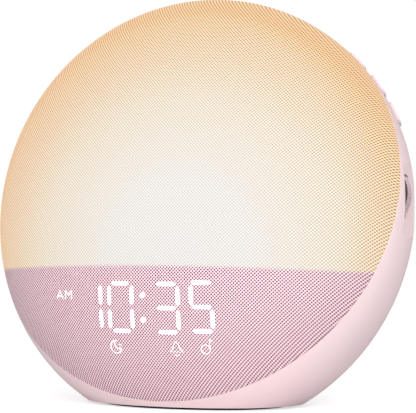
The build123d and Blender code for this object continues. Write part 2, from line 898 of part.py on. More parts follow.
with BuildPart() as speaker_magnet:
    with BuildSketch(BODY.offset(basket_front_at + seat_gap)):
        Circle(magnet_radius)
    extrude(amount=magnet_depth)
    chamfer(speaker_magnet.faces().sort_by(BODY_AXIS)[-1].edges(), length=magnet_chamfer)
speaker_magnet.part.label = "speaker_magnet"
export_step(speaker_magnet.part, "parts/speaker_magnet.step")

cone_edge_at = flange_back_at + cone_edge_lift
cone_neck_at = basket_front_at - cone_neck_drop
former_front_at = basket_front_at - cone_thickness
cap_radius = coil_radius - 2 * coil_gap
with BuildPart() as speaker_cone:
    with BuildSketch(PROFILE):
        with BuildLine():
            Polyline(
                (0, cone_neck_at - cap_depth - cone_thickness),
                (cap_radius, cone_neck_at - cap_depth),
                (coil_radius + cone_thickness, cone_neck_at - cone_thickness),
                (cone_radius, cone_edge_at),
                (cone_radius, cone_edge_at + cone_thickness),
                (coil_radius, cone_neck_at + cone_thickness),
                (coil_radius, former_front_at),
                (coil_radius - cone_thickness, former_front_at),
                (coil_radius - cone_thickness, cone_neck_at),
                (cap_radius - cone_thickness, cone_neck_at - cap_depth + cone_thickness),
                (0, cone_neck_at - cap_depth),
                (0, cone_neck_at - cap_depth - cone_thickness),
            )
        make_face()
    revolve(axis=BODY_AXIS)
speaker_cone.part.label = "speaker_cone"
export_step(speaker_cone.part, "parts/speaker_cone.step")

roll_middle = (cone_radius + speaker_opening) / 2
roll_radius = (speaker_opening - cone_radius) / 2 - fit_gap / 2
with BuildPart() as speaker_surround:
    with BuildSketch(PROFILE):
        with Locations((roll_middle, flange_back_at - seat_gap / 2)):
            Circle(roll_radius)
            Circle(roll_radius - roll_thickness, mode=Mode.SUBTRACT)
            Rectangle(
                2 * roll_radius,
                2 * roll_radius,
                align=(Align.CENTER, Align.MIN),
                mode=Mode.SUBTRACT,
            )
    revolve(axis=BODY_AXIS)
speaker_surround.part.label = "speaker_surround"
export_step(speaker_surround.part, "parts/speaker_surround.step")

speaker_screws = screws(
    flange_front.offset(seat_gap / 2), speaker_spots, flange_thickness + speaker_screw_grip
)
speaker_screws.label = "speaker_screws"
export_step(speaker_screws, "parts/speaker_screws.step")

# ---------------------------------------------------------------- main board
board_face = BODY.offset(-main_board_front + seat_gap / 2)
board_rear = BODY.offset(-main_board_back - seat_gap / 2)
main_board_low = main_board_up - main_board_height / 2
power_socket_up = main_board_low + lead_socket[1] / 2

with BuildPart() as main_board:
    with BuildSketch(BODY.offset(-main_board_back)):
        with Locations((0, main_board_up)):
            RectangleRounded(main_board_width, main_board_height, board_corner)
        with Locations(*board_spots):
            Circle(pilot_radius, mode=Mode.SUBTRACT)
    extrude(amount=board_thickness)
main_board.part.label = "main_board"
export_step(main_board.part, "parts/main_board.step")

main_board_screws = screws(board_face, board_spots, board_thickness + board_screw_grip)
main_board_screws.label = "main_board_screws"
export_step(main_board_screws, "parts/main_board_screws.step")

with BuildPart() as processor_chip:
    with BuildSketch(board_face):
        with Locations((chip_across, chip_up)):
            Rectangle(chip_size, chip_size)
    extrude(amount=chip_height)
    chamfer(processor_chip.edges().filter_by(BODY_AXIS), length=chip_height / 2)
processor_chip.part.label = "processor_chip"
export_step(processor_chip.part, "parts/processor_chip.step")

with BuildPart() as radio_module:
    with BuildSketch(board_face):
        with Locations((radio_across, radio_up)):
            RectangleRounded(radio_width, radio_length, radio_height / 3)
    extrude(amount=radio_height)
    fillet(radio_module.faces().sort_by(BODY_AXIS)[-1].edges(), radius=radio_height / 5)
radio_module.part.label = "radio_module"
export_step(radio_module.part, "parts/radio_module.step")

with BuildPart() as storage_capacitors:
    with BuildSketch(board_face):
        with Locations(*capacitor_spots):
            Circle(capacitor_radius)
    extrude(amount=capacitor_height)
    chamfer(storage_capacitors.faces().sort_by(BODY_AXIS)[-2:].edges(), length=capacitor_radius / 8)
storage_capacitors.part.label = "storage_capacitors"
export_step(storage_capacitors.part, "parts/storage_capacitors.step")

with BuildPart() as board_sockets:
    # sockets for the flat cables on the front face
    with BuildSketch(board_face):
        with Locations((0, ribbon_socket_up)):
            Rectangle(display_ribbon_width + 2 * socket_margin, socket_depth)
        with Locations((0, lamp_socket_up)):
            Rectangle(lamp_ribbon_width + 2 * socket_margin, socket_depth)
    extrude(amount=socket_height)
    # sockets for the speaker's and the inlet's leads on the rear face
    with BuildSketch(board_rear):
        with Locations(speaker_socket_spot, (power_socket_across, power_socket_up)):
            Rectangle(*lead_socket)
    extrude(amount=-socket_height)
board_sockets.part.label = "board_sockets"
export_step(board_sockets.part, "parts/board_sockets.step")

with BuildPart() as cell_holder:
    with BuildSketch(board_rear):
        with Locations((cell_across, cell_up)):
            Circle(cell_radius + holder_wall)
    extrude(amount=-cell_thickness - holder_floor - fit_gap)
    with BuildSketch(board_rear.offset(-holder_floor)):
        with Locations((cell_across, cell_up)):
            Circle(cell_radius + fit_gap)
    extrude(amount=-cell_thickness - holder_floor, mode=Mode.SUBTRACT)
    # finger notch for changing the cell
    with BuildSketch(board_rear.offset(-holder_floor)):
        with Locations((cell_across, cell_up + cell_radius)):
            Rectangle(finger_notch, finger_notch)
    extrude(amount=-cell_thickness - holder_floor, mode=Mode.SUBTRACT)
cell_holder.part.label = "cell_holder"
export_step(cell_holder.part, "parts/cell_holder.step")

with BuildPart() as coin_cell:
    with BuildSketch(board_rear.offset(-holder_floor - seat_gap)):
        with Locations((cell_across, cell_up)):
            Circle(cell_radius)
    extrude(amount=-cell_thickness)
    chamfer(coin_cell.faces().sort_by(BODY_AXIS)[0].edges(), length=cell_thickness / 8)
coin_cell.part.label = "coin_cell"
export_step(coin_cell.part, "parts/coin_cell.step")

# ---------------------------------------------------------------- power inlet
power_board_top = power_board_up + board_thickness
jack_back = inlet_pocket_floor - inlet_cup_floor - fit_gap
jack_middle = jack_back - jack_length / 2
power_socket_at = power_board_middle - power_board_length / 2 + power_socket_inset

with BuildPart() as power_board:
    with BuildSketch(Plane.XY.offset(power_board_up)):
        with Locations((0, power_board_middle)):
            RectangleRounded(power_board_width, power_board_length, board_corner)
        with Locations(*power_spots):
            Circle(pilot_radius, mode=Mode.SUBTRACT)
    extrude(amount=board_thickness)
power_board.part.label = "power_board"
export_step(power_board.part, "parts/power_board.step")

power_board_screws = screws(
    Plane.XY.offset(power_board_top + seat_gap), power_spots, board_thickness + power_screw_grip
)
power_board_screws.label = "power_board_screws"
export_step(power_board_screws, "parts/power_board_screws.step")

with BuildPart() as power_inlet:
    with BuildSketch(Plane.XY.offset(power_board_top + seat_gap)):
        with Locations((0, jack_middle)):
            Rectangle(jack_width, jack_length)
    extrude(amount=inlet_height + jack_rise - power_board_top)
    chamfer(power_inlet.edges().filter_by(Axis.Y).group_by(Axis.Z)[-1], length=jack_width / 9)
    with BuildSketch(BACKWARD.offset(jack_middle)):
        with Locations((0, inlet_height)):
            Circle(inlet_nose_radius)
    extrude(amount=inlet_pocket_floor - jack_middle)
    with BuildSketch(BACKWARD.offset(inlet_pocket_floor)):
        with Locations((0, inlet_height)):
            Circle(inlet_bore_radius)
    extrude(amount=-inlet_depth, mode=Mode.SUBTRACT)
power_inlet.part.label = "power_inlet"
export_step(power_inlet.part, "parts/power_inlet.step")

with BuildPart() as power_socket:
    with BuildSketch(Plane.XY.offset(power_board_top + seat_gap)):
        with Locations((0, power_socket_at)):
            Rectangle(*power_socket_size)
    extrude(amount=socket_height)
power_socket.part.label = "power_socket"
export_step(power_socket.part, "parts/power_socket.step")

with BuildPart() as inlet_pin:
    with BuildSketch(BACKWARD.offset(inlet_pocket_floor - inlet_depth + seat_gap)):
        with Locations((0, inlet_height)):
            Circle(inlet_pin_radius)
    extrude(amount=inlet_depth - inlet_pin_radius)
    fillet(inlet_pin.faces().sort_by(Axis.Y)[-1].edges(), radius=inlet_pin_radius / 2)
inlet_pin.part.label = "inlet_pin"
export_step(inlet_pin.part, "parts/inlet_pin.step")

# ---------------------------------------------------------------- push buttons and switches
def make_button(angle):
    """A cap that follows the housing's surface, a lip behind the wall and a stem."""
    base = button_plane(angle, button_floor)
    with BuildPart() as lip:
        with BuildSketch(base):
            RectangleRounded(
                button_width + 2 * button_lip,
                button_length + 2 * button_lip,
                button_corner + button_lip,
            )
        extrude(amount=body_radius)
        add(ball(wall + fit_gap), mode=Mode.INTERSECT)
    with BuildPart() as button:
        with BuildSketch(base):
            RectangleRounded(button_width, button_length, button_corner)
        extrude(amount=body_radius)
        add(ball(-button_proud), mode=Mode.INTERSECT)
        travel_line = Axis(base.origin, base.z_dir)
        fillet(button.faces().sort_by(travel_line)[-1].edges(), radius=button_fillet)
        add(lip.part)
        with BuildSketch(button_plane(angle, plunger_top)):
            Circle(plunger_radius)
        extrude(amount=button_floor - plunger_top)
    return button.part


def make_plunger(angle):
    with BuildPart() as plunger:
        with BuildSketch(button_plane(angle, plunger_top - seat_gap / 2)):
            Circle(plunger_radius)
        extrude(amount=-plunger_length)
    return plunger.part


for name, angle in button_angles.items():
    button = make_button(angle)
    button.label = "button_" + name
    export_step(button, "parts/button_" + name + ".step")
    plunger = make_plunger(angle)
    plunger.label = "plunger_" + name
    export_step(plunger, "parts/plunger_" + name + ".step")

with BuildPart() as tact_switches:
    for angle in button_angles.values():
        with BuildSketch(button_plane(angle, switch_top)):
            Rectangle(switch_size, switch_size)
        extrude(amount=-switch_height)
        with BuildSketch(button_plane(angle, switch_top)):
            Circle(plunger_radius + fit_gap)
        extrude(amount=-plunger_length - seat_gap, mode=Mode.SUBTRACT)
tact_switches.part.label = "tact_switches"
export_step(tact_switches.part, "parts/tact_switches.step")

# The strip and the carrier under the switches are facets, one under each switch
strip_top = switch_top - switch_height - seat_gap
carrier_top = strip_top - strip_thickness - seat_gap
step_angle = button_angles["middle"] - button_angles["lower"]


def facet_row(reach, half_turn):
    """Corners of a row of flats at reach from the body's axis, one flat for each switch."""
    first = button_angles["lower"]
    last = button_angles["upper"]
    corner = reach / math.cos(math.radians(step_angle / 2))
    points = [polar(reach / math.cos(math.radians(half_turn)), first - half_turn)]
    for turn in (first + step_angle / 2, last - step_angle / 2):
        points.append(polar(corner, turn))
    points.append(polar(reach / math.cos(math.radians(half_turn)), last + half_turn))
    return points


with BuildPart() as switch_strip:
    with BuildSketch(BODY.offset(-button_back)):
        outer = facet_row(strip_top, strip_overhang)
        inner = facet_row(strip_top - strip_thickness, strip_overhang)
        Polygon(*outer, *reversed(inner), align=None)
    extrude(amount=switch_size / 2 + strip_margin, both=True)
switch_strip.part.label = "switch_strip"
export_step(switch_strip.part, "parts/switch_strip.step")

with BuildPart() as switch_carrier:
    with BuildSketch(BODY.offset(-button_back)):
        outer = facet_row(carrier_top, carrier_overhang)
        inner = facet_row(carrier_top - carrier_thickness, carrier_overhang)
        Polygon(*outer, *reversed(inner), align=None)
        # feet that reach the housing's wall past the outer buttons
        foot_start = button_angles["lower"] - carrier_foot_turn
        foot_end = button_angles["upper"] + carrier_foot_turn
        for angle in (foot_start, foot_end):
            with BuildLine(mode=Mode.PRIVATE) as foot_line:
                Line(polar(carrier_top - carrier_thickness, angle), polar(body_radius, angle))
            trace(foot_line.line, line_width=carrier_thickness)
    extrude(amount=carrier_width / 2, both=True)
    add(ball(wall + seat_gap), mode=Mode.INTERSECT)
switch_carrier.part.label = "switch_carrier"
export_step(switch_carrier.part, "parts/switch_carrier.step")

# ---------------------------------------------------------------- thumb wheel
wheel_front_at = -wheel_back + wheel_width / 2
front_arm_at = wheel_front_at + wheel_side_gap
wheel_spot = (wheel_across, wheel_up)

with BuildPart() as thumb_wheel:
    with BuildSketch(BODY.offset(-wheel_back)):
        with Locations(wheel_spot):
            Circle(wheel_radius)
            with PolarLocations(wheel_radius, wheel_ribs):
                Polygon((-rib_depth, 0), (0, rib_gap), (0, -rib_gap), align=None, mode=Mode.SUBTRACT)
            Circle(axle_radius + press_gap, mode=Mode.SUBTRACT)
    extrude(amount=wheel_width / 2, both=True)
    # dished faces leave a rim and a hub
    for side in (1, -1):
        with BuildSketch(BODY.offset(-wheel_back + side * wheel_width / 2)):
            with Locations(wheel_spot):
                Circle(wheel_radius - wheel_rim)
                Circle(hub_radius, mode=Mode.SUBTRACT)
        extrude(amount=-side * wheel_dish, mode=Mode.SUBTRACT)
thumb_wheel.part.label = "thumb_wheel"
export_step(thumb_wheel.part, "parts/thumb_wheel.step")

axle_front_at = front_arm_at + bracket_wall + axle_overhang
axle_rear_at = -bracket_back - encoder_depth + encoder_floor
with BuildPart() as wheel_axle:
    with BuildSketch(BODY.offset(axle_front_at)):
        with Locations(wheel_spot):
            Circle(axle_radius)
    extrude(amount=axle_rear_at - axle_front_at)
wheel_axle.part.label = "wheel_axle"
export_step(wheel_axle.part, "parts/wheel_axle.step")

with BuildPart() as wheel_bracket:
    # rear arm with its two screw lugs
    with BuildSketch(BODY.offset(-bracket_back)):
        with Locations(wheel_spot):
            Circle(bracket_arm / 2)
        with Locations((wheel_across, wheel_up)):
            Rectangle(bracket_reach, bracket_arm, align=(Align.MAX, Align.CENTER))
        with Locations((bracket_screw_across - bracket_wall, wheel_up)):
            RectangleRounded(bracket_lug, 2 * bracket_screw_spread + bracket_lug, bracket_lug / 3)
        with Locations(*bracket_spots):
            Circle(pilot_radius, mode=Mode.SUBTRACT)
    extrude(amount=bracket_wall)
    # web and front arm
    with BuildSketch(BODY.offset(-bracket_back)):
        with Locations((wheel_across - bracket_reach, wheel_up)):
            Rectangle(bracket_wall, bracket_arm, align=(Align.MIN, Align.CENTER))
    extrude(amount=bracket_back + front_arm_at + bracket_wall)
    with BuildSketch(BODY.offset(front_arm_at)):
        with Locations(wheel_spot):
            Circle(bracket_arm / 2)
        with Locations((wheel_across, wheel_up)):
            Rectangle(bracket_reach, bracket_arm, align=(Align.MAX, Align.CENTER))
    extrude(amount=bracket_wall)
    with BuildSketch(BODY.offset(front_arm_at + 2 * bracket_wall)):
        with Locations(wheel_spot):
            Circle(axle_radius + running_gap)
    extrude(amount=-half_depth, mode=Mode.SUBTRACT)
wheel_bracket.part.label = "wheel_bracket"
export_step(wheel_bracket.part, "parts/wheel_bracket.step")

with BuildPart() as wheel_encoder:
    with BuildSketch(BODY.offset(-bracket_back - seat_gap)):
        with Locations(wheel_spot):
            RectangleRounded(encoder_size, encoder_size, encoder_corner)
            Circle(axle_radius + running_gap, mode=Mode.SUBTRACT)
    extrude(amount=-encoder_depth)
wheel_encoder.part.label = "wheel_encoder"
export_step(wheel_encoder.part, "parts/wheel_encoder.step")

bracket_screws = screws(
    BODY.offset(-bracket_back + bracket_wall + seat_gap),
    bracket_spots,
    bracket_wall + board_screw_grip,
)
bracket_screws.label = "bracket_screws"
export_step(bracket_screws, "parts/bracket_screws.step")

# ---------------------------------------------------------------- leads
def side_point(up, forward):
    """A spot on the centre plane of the body, as the side view's Y and Z."""
    spot = centre + body_up * up + front * forward
    return (spot.Y, spot.Z)


board_socket_at = -main_board_front + socket_height + socket_gap
rear_socket_at = -main_board_back - socket_height - socket_gap

with BuildPart() as display_ribbon:
    with BuildSketch(SIDE.offset(-display_ribbon_width / 2)):
        with BuildLine() as ribbon_line:
            FilletPolyline(
                (-display_depth + board_thickness + socket_gap, display_middle - ribbon_drop),
                *[(back - display_depth, display_middle + up) for back, up in ribbon_bends],
                side_point(ribbon_socket_up + ribbon_lift, board_socket_at + ribbon_run - socket_gap),
                side_point(ribbon_socket_up, board_socket_at),
                radius=ribbon_bend_radius,
            )
        trace(line_width=ribbon_thickness)
    extrude(amount=display_ribbon_width)
display_ribbon.part.label = "display_ribbon"
export_step(display_ribbon.part, "parts/display_ribbon.step")

with BuildPart() as lamp_ribbon:
    with BuildSketch(SIDE.offset(-lamp_ribbon_width / 2)):
        with BuildLine() as lamp_line:
            FilletPolyline(
                side_point(lamp_ribbon_up, seam_forward + seat_gap),
                side_point(lamp_ribbon_up - socket_gap, seam_forward - lamp_ribbon_drop),
                side_point(
                    lamp_socket_up + lamp_ribbon_lift, board_socket_at + lamp_ribbon_run - socket_gap
                ),
                side_point(lamp_socket_up, board_socket_at),
                radius=lamp_ribbon_bend_radius,
            )
        trace(line_width=ribbon_thickness)
    extrude(amount=lamp_ribbon_width)
lamp_ribbon.part.label = "lamp_ribbon"
export_step(lamp_ribbon.part, "parts/lamp_ribbon.step")


def body_point(x, up, forward):
    return centre + across * x + body_up * up + front * forward


def lead(points, radius):
    """A round lead along straight runs joined by arcs."""
    with BuildPart() as wire:
        with BuildLine() as path:
            FilletPolyline(*points, radius=radius)
        with BuildSketch(Plane(origin=path.line @ 0, z_dir=path.line % 0)):
            Circle(lead_diameter / 2)
        sweep()
    length = sum(edge.length for edge in path.edges())
    print("lead of", round(length, 1), "mm with bends of radius", radius)
    return wire.part


lead_shifts = (-lead_spacing / 2, lead_spacing / 2)
socket_across, socket_up = speaker_socket_spot
with BuildPart() as speaker_leads:
    for shift in lead_shifts:
        tab_x = speaker_lead_across + shift
        socket_x = socket_across + shift
        tab_front_at = basket_front_at - basket_wall
        course = [
            body_point(tab_x, 0, tab_front_at + socket_gap),
            body_point(tab_x, 0, basket_front_at + speaker_lead_rise),
            body_point(socket_x, socket_up, rear_socket_at + socket_gap - speaker_lead_run),
            body_point(socket_x, socket_up, rear_socket_at),
        ]
        add(lead(course, speaker_lead_bend_radius))
speaker_leads.part.label = "speaker_leads"
export_step(speaker_leads.part, "parts/speaker_leads.step")

lead_start = Vector(0, power_socket_at, power_board_top + socket_height + socket_gap)
lead_end = body_point(
    power_socket_across, main_board_low - socket_gap, -main_board_back - socket_height / 2
)
climb = lead_end.Z - lead_start.Z
with BuildPart() as power_leads:
    for shift in lead_shifts:
        sideways = Vector(shift, 0, 0)
        course = [lead_start + sideways]
        for share, aside, back in power_lead_bends:
            course.append(lead_start + sideways + Vector(aside, back, share * climb))
        course.append(lead_end + sideways)
        add(lead(course, power_lead_bend_radius))
power_leads.part.label = "power_leads"
export_step(power_leads.part, "parts/power_leads.step")
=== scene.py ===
import math

import bmesh
import bpy
from mathutils import Matrix, Vector


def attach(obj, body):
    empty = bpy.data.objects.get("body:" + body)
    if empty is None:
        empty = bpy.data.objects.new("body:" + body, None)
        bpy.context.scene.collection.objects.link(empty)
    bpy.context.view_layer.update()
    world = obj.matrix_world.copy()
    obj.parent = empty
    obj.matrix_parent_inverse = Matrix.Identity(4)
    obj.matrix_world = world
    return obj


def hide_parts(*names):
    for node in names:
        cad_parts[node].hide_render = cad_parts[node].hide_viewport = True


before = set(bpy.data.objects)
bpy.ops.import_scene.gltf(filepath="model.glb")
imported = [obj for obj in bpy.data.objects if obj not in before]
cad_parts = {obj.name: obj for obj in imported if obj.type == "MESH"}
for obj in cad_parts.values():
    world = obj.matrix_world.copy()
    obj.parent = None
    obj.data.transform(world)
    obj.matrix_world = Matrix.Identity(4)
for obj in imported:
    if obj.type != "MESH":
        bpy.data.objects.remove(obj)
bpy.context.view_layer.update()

# ---- Camera
# The clock is looked at a little from its right side, from just under its middle,
# with a long lens.
camera_turn = math.radians(25.557)
camera_rise = math.radians(-1.612)
camera_distance = 0.75807
camera_target = Vector((0, 0, 0.088))
camera_back = Vector((
    math.sin(camera_turn) * math.cos(camera_rise),
    -math.cos(camera_turn) * math.cos(camera_rise),
    math.sin(camera_rise),
))
camera_data = bpy.data.cameras.new("camera")
camera_data.lens = 154.9
camera_data.sensor_width = 36
camera_data.shift_x = 0.0148
camera_data.shift_y = -0.0306
camera = bpy.data.objects.new("camera", camera_data)
camera.location = camera_target + camera_back * camera_distance
camera.rotation_euler = (-camera_back).to_track_quat("-Z", "Y").to_euler()
bpy.context.scene.collection.objects.link(camera)
bpy.context.scene.camera = camera
bpy.context.scene.view_settings.view_transform = "Standard"


# ---- Room: floor, surround and soft lamps
# A white sweep of floor that keeps the clock's soft shadow, a white surround whose light is
# weaker at the back and left, and two large lamps, one up on the right and one low in front.
white = (1, 1, 1, 1)
floor_reach = 4.0
floor_colour = (0.74, 0.736, 0.74, 1)
floor_lift = 0.62
# the way in which the surround's light weakens, and the shares of it between which it does
way_back = (-0.35, 0.94, 0)
full_until = -0.3
weak_from = 0.6
front_room_light = 0.70
back_room_light = 0.36
# each lamp's name, place, width, and power in watts
lamps = (
    ("key_lamp", (0.75, -0.75, 0.85), 0.7, 6.9),
    ("fill_lamp", (0.24, -1.00, 0.14), 0.8, 6.4),
)


def add_node(tree, kind, inputs=(), **settings):
    """A shader node with its settings, and values or links for its inputs."""
    node = tree.nodes.new("ShaderNode" + kind)
    for key, value in settings.items():
        setattr(node, key, value)
    for key, value in dict(inputs).items():
        if isinstance(value, bpy.types.NodeSocket):
            tree.links.new(value, node.inputs[key])
        else:
            node.inputs[key].default_value = value
    return node


def calc(tree, operation, first, second=0.0, third=0.0):
    """The result of a Math node."""
    node = add_node(tree, "Math", {0: first, 1: second, 2: third}, operation=operation)
    return node.outputs[0]


def ease(tree, value, low, high, start=0.0, end=1.0):
    """A smooth step from start to end as value goes from low to high."""
    ramp = add_node(tree, "MapRange", {0: value, 1: low, 2: high, 3: start, 4: end},
                    interpolation_type="SMOOTHSTEP")
    return ramp.outputs[0]


def seen_only(tree):
    """1 for what the camera sees directly or through glass, and 0 elsewhere."""
    path = add_node(tree, "LightPath").outputs
    return calc(tree, "MAXIMUM", path["Is Camera Ray"], path["Is Transmission Ray"])


floor_mesh = bmesh.new()
bmesh.ops.create_grid(floor_mesh, x_segments=2, y_segments=2, size=floor_reach)
floor_data = bpy.data.meshes.new("floor")
floor_mesh.to_mesh(floor_data)
floor_mesh.free()
floor = bpy.data.objects.new("floor", floor_data)
bpy.context.scene.collection.objects.link(floor)

floor_paint = bpy.data.materials.new("floor_paint")
floor_paint.use_nodes = True
tree = floor_paint.node_tree
tree.nodes.clear()
matt = add_node(tree, "BsdfDiffuse", {"Color": floor_colour})
lift = add_node(tree, "Emission", {"Color": white, "Strength": floor_lift})
dark = add_node(tree, "Emission", {"Strength": 0.0})
chosen = add_node(tree, "MixShader", {0: seen_only(tree), 1: dark.outputs[0], 2: lift.outputs[0]})
both = add_node(tree, "AddShader", {0: matt.outputs[0], 1: chosen.outputs[0]})
add_node(tree, "OutputMaterial", {"Surface": both.outputs[0]})
floor_data.materials.append(floor_paint)

world = bpy.data.worlds.new("surround")
bpy.context.scene.world = world
world.use_nodes = True
tree = world.node_tree
tree.nodes.clear()
heading = add_node(tree, "TexCoord").outputs["Generated"]
backwards = add_node(tree, "VectorMath", {0: heading, 1: way_back}, operation="DOT_PRODUCT")
room_light = ease(tree, backwards.outputs["Value"], full_until, weak_from,
                  front_room_light, back_room_light)
ambient = add_node(tree, "Background", {"Color": white, "Strength": room_light})
plain = add_node(tree, "Background", {"Color": white, "Strength": 1.0})
surround = add_node(tree, "MixShader",
                    {0: seen_only(tree), 1: ambient.outputs[0], 2: plain.outputs[0]})
add_node(tree, "OutputWorld", {"Surface": surround.outputs[0]})

for name, place, width, power in lamps:
    lamp_data = bpy.data.lights.new(name, "AREA")
    lamp_data.shape = "DISK"
    lamp_data.size = width
    lamp_data.energy = power
    lamp = bpy.data.objects.new(name, lamp_data)
    lamp.location = place
    lamp.rotation_euler = (camera_target - Vector(place)).to_track_quat("-Z", "Y").to_euler()
    bpy.context.scene.collection.objects.link(lamp)


# ---- Cloth cover
# An open knit of matt yarn, stretched over the whole front and tucked in at the seam. It glows
# where the lamp box is behind it, white low in the middle to orange at the rim, and is plain
# pink below.
body_radius = 0.092
half_depth = 0.051
roundness = 2.3
lean = math.radians(10)
centre = Vector((0, 0, 0.0795))
axis_front = Vector((0, -math.cos(lean), math.sin(lean)))
axis_up = Vector((0, math.sin(lean), math.cos(lean)))
seam_lean = math.radians(21.5)
seam_forward = 0.0104
seam_gap = 0.00018
seam_normal = Vector((0, -math.cos(seam_lean), math.sin(seam_lean)))
seam_point = centre + axis_front * seam_forward
cloth_thickness = 0.0008
hem_round = 0.0003
# the dome's profile runs from its front pole to behind the seam
profile_end = math.radians(128)
profile_steps = 56
round_steps = 144
# the stitches' pitches, and how they crowd and wrap where the dome turns to its side
column_pitch = 0.001368
row_pitch = 0.001339
column_crowding = 0.0404
crowding_power = 6.0
turn_share = 0.98
turn_radius = turn_share * body_radius
turn_forward = half_depth * (1 - turn_share ** roundness) ** (1 / roundness)
wrap_pull = 0.3
# where the stitches' wave passes from hole to thread, and the plain cloth's colours
hole_below = -0.60
thread_above = 0.40
thread_pinks = ((0.965, 0.695, 0.780, 1), (0.99, 0.77, 0.845, 1))
hole_colour = (0.13, 0.008, 0.022, 1)
# the glow's middle and reach on the face, its colours outwards, and the line where it stops
glow_across = 0.014
glow_up = -0.025
glow_reach = 0.11
rim_start = 0.074
rim_gain = 0.12
glow_strength = 0.665
lit_paleness = 0.20
glow_stops = (
    (0.0, (0.900, 0.862, 0.835)),
    (0.27, (0.900, 0.858, 0.820)),
    (0.42, (0.900, 0.825, 0.735)),
    (0.57, (0.890, 0.780, 0.640)),
    (0.74, (0.885, 0.675, 0.485)),
    (0.92, (0.880, 0.590, 0.345)),
    (1.0, (0.870, 0.535, 0.275)),
)
light_line = 0.0583
line_droop = 0.36
fade_below = 0.0011
fade_above = 0.0009
# how far a hole is darker than a thread in the glow, in the middle and more at the rim
hole_depth = 0.19
rim_hole_depth = 0.38
deeper_from = 0.3


def finish_piece(name, mesh, material, body, smooth=True):
    """Turns a bmesh into a piece that rides on a body and has its material."""
    data = bpy.data.meshes.new(name)
    mesh.to_mesh(data)
    mesh.free()
    for face in data.polygons:
        face.use_smooth = smooth
    data.materials.append(material)
    piece = bpy.data.objects.new(name, data)
    bpy.context.scene.collection.objects.link(piece)
    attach(piece, body)
    return piece


def start_material(name, colour, roughness):
    """A new material: its node tree, its shader and the object's own coordinates."""
    material = bpy.data.materials.new(name)
    material.use_nodes = True
    tree = material.node_tree
    shader = tree.nodes["Principled BSDF"]
    shader.inputs["Base Color"].default_value = (*colour, 1)
    shader.inputs["Roughness"].default_value = roughness
    coordinates = add_node(tree, "TexCoord").outputs["Object"]
    return material, tree, shader, coordinates


def blend_colour(tree, factor, first, second):
    """A colour between two, by a factor from 0 to 1."""
    mix = add_node(tree, "Mix", {0: factor, 6: first, 7: second}, data_type="RGBA")
    return mix.outputs[2]


def dim_colour(tree, colour, level):
    """A colour times a level."""
    scaled = add_node(tree, "VectorMath", {0: colour, 3: level}, operation="SCALE")
    return scaled.outputs[0]


def colour_ramp(tree, value, stops):
    """A colour that runs through stops of a place from 0 to 1 and a colour."""
    ramp = add_node(tree, "ValToRGB", {0: value})
    bands = ramp.color_ramp.elements
    while len(bands) < len(stops):
        bands.new(0.5)
    for band, (place, colour) in zip(bands, stops):
        band.position = place
        band.color = (*colour, 1)
    return ramp.outputs[0]


def far_out(tree, sideways, upwards):
    """How far a spot lies from the middle."""
    squares = [calc(tree, "MULTIPLY", part, part) for part in (sideways, upwards)]
    return calc(tree, "SQRT", calc(tree, "ADD", *squares))


knit, tree, shader, place = start_material("knit", (0.8, 0.6, 0.66), 0.85)
shader.inputs["Sheen Weight"].default_value = 0.15
shader.inputs["Sheen Roughness"].default_value = 0.5
# the spot along the clock's own leaning axes
across, back, high = add_node(tree, "SeparateXYZ", {0: place}).outputs
above = calc(tree, "SUBTRACT", high, centre.z)
face_up = calc(tree, "ADD", calc(tree, "MULTIPLY", back, math.sin(lean)),
               calc(tree, "MULTIPLY", above, math.cos(lean)))
forward = calc(tree, "SUBTRACT", calc(tree, "MULTIPLY", above, math.sin(lean)),
               calc(tree, "MULTIPLY", back, math.cos(lean)))
rim_far = far_out(tree, across, face_up)
# stitches in rows and columns; the columns crowd together a little towards the rim, and where
# the dome turns to its side both follow the surface backwards
turned_back = calc(tree, "MAXIMUM", calc(tree, "SUBTRACT", turn_forward, forward), 0.0)
wrap = calc(tree, "DIVIDE", calc(tree, "MULTIPLY", turned_back, wrap_pull), rim_far)
flat_far = calc(tree, "MINIMUM", rim_far, turn_radius)
flat_share = calc(tree, "DIVIDE", flat_far, rim_far)
nearing_rim = calc(tree, "POWER", calc(tree, "MULTIPLY", flat_far, 1 / body_radius),
                   crowding_power)
crowding = calc(tree, "MULTIPLY_ADD", nearing_rim, column_crowding, 1.0)
columns = calc(tree, "MULTIPLY", across, calc(tree, "MULTIPLY_ADD", flat_share, crowding, wrap))
rows = calc(tree, "MULTIPLY", face_up, calc(tree, "ADD", flat_share, wrap))
column_wave = calc(tree, "COSINE", calc(tree, "MULTIPLY", columns, 2 * math.pi / column_pitch))
row_wave = calc(tree, "COSINE", calc(tree, "MULTIPLY", rows, 2 * math.pi / row_pitch))
weave = calc(tree, "MULTIPLY", column_wave, row_wave)
thread = ease(tree, weave, hole_below, thread_above)
# the glow's colour by how far out it is, a little further along at the rim
glow_x = calc(tree, "MULTIPLY", calc(tree, "SUBTRACT", across, glow_across), 1 / glow_reach)
glow_y = calc(tree, "MULTIPLY", calc(tree, "SUBTRACT", face_up, glow_up), 1 / glow_reach)
rim = ease(tree, rim_far, rim_start, body_radius)
glow_out = calc(tree, "ADD", far_out(tree, glow_x, glow_y),
                calc(tree, "MULTIPLY", rim, rim_gain))
glow_colour = colour_ramp(tree, glow_out, glow_stops)
# the line where the glow stops, a soft edge that droops to the sides
across_squared = calc(tree, "MULTIPLY", across, across)
line_high = calc(tree, "ADD", high, calc(tree, "MULTIPLY", across_squared, line_droop))
lit = ease(tree, line_high, light_line - fade_below, light_line + fade_above)
